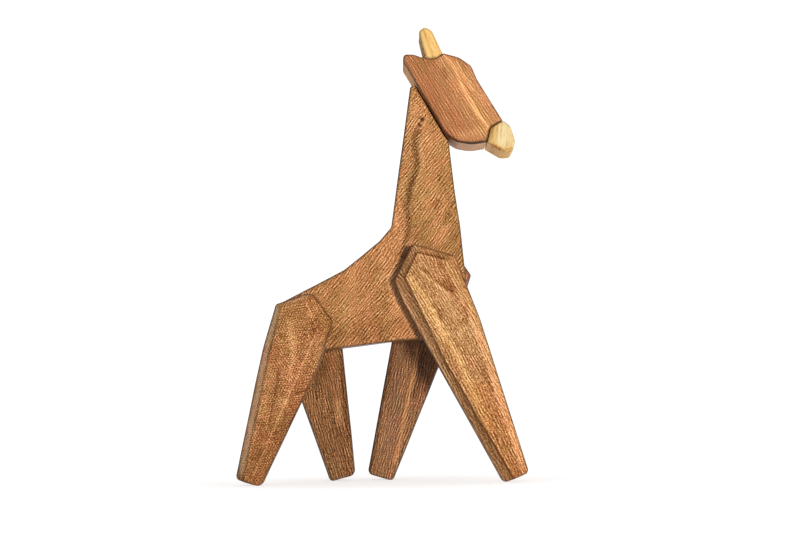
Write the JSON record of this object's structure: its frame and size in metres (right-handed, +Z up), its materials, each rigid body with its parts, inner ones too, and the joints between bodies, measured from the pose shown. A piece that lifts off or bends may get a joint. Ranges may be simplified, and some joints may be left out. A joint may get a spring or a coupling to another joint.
{
  "type": "posable wooden giraffe figurine",
  "caption": "Posable tabletop giraffe figurine of flat planed walnut boards with a pale muzzle and horns; legs and head swivel on hidden magnets.",
  "frame": {"origin": "middle of the overall length and width, on the floor the feet stand on", "axes": "+X the way the animal faces, +Y to its left side, +Z up"},
  "size_m": [0.1414, 0.0416, 0.2262],
  "materials": {
    "walnut": "sanded and lightly oiled, open dark pores",
    "ash": "sanded pale ash with fine golden lines",
    "dowel": "plain beech",
    "magnet": "nickel-plated disc magnet"
  },
  "bodies": {
    "body": {"body": "walnut", "front_right_hip_magnet": "magnet", "front_left_hip_magnet": "magnet", "rear_right_hip_magnet": "magnet", "rear_left_hip_magnet": "magnet", "neck_magnet": "magnet"},
    "head": {"head": "walnut", "head_magnet": "magnet", "muzzle": "ash", "muzzle_dowel": "dowel", "ossicone_right": "ash", "ossicone_left": "ash", "ossicone_dowel_right": "dowel", "ossicone_dowel_left": "dowel"},
    "front_right_leg": {"front_right_leg": "walnut", "front_right_leg_magnet": "magnet"},
    "front_left_leg": {"front_left_leg": "walnut", "front_left_leg_magnet": "magnet"},
    "rear_right_leg": {"rear_right_leg": "walnut", "rear_right_leg_magnet": "magnet"},
    "rear_left_leg": {"rear_left_leg": "walnut", "rear_left_leg_magnet": "magnet"}
  },
  "joints": [
    {"name": "head_swivel", "type": "hinge", "parent": "body", "child": "head", "pos_m": [0.0276, 0, 0.1823], "axis": [0.8725, 0, 0.4886], "continuous": true},
    {"name": "front_right_swing", "type": "hinge", "parent": "body", "child": "front_right_leg", "pos_m": [0.0313, -0.00915, 0.0938], "axis": [0, -1, 0], "range_deg": [-39.5, 97]},
    {"name": "front_left_swing", "type": "hinge", "parent": "body", "child": "front_left_leg", "pos_m": [0.0313, 0.00915, 0.0938], "axis": [0, -1, 0], "range_deg": [-1.5, 136.5]},
    {"name": "rear_right_swing", "type": "hinge", "parent": "body", "child": "rear_right_leg", "pos_m": [-0.0422, -0.00915, 0.0805], "axis": [0, -1, 0], "range_deg": [-147.5, 31]},
    {"name": "rear_left_swing", "type": "hinge", "parent": "body", "child": "rear_left_leg", "pos_m": [-0.0422, 0.00915, 0.0805], "axis": [0, -1, 0], "range_deg": [-179, 1.5]}
  ]
}
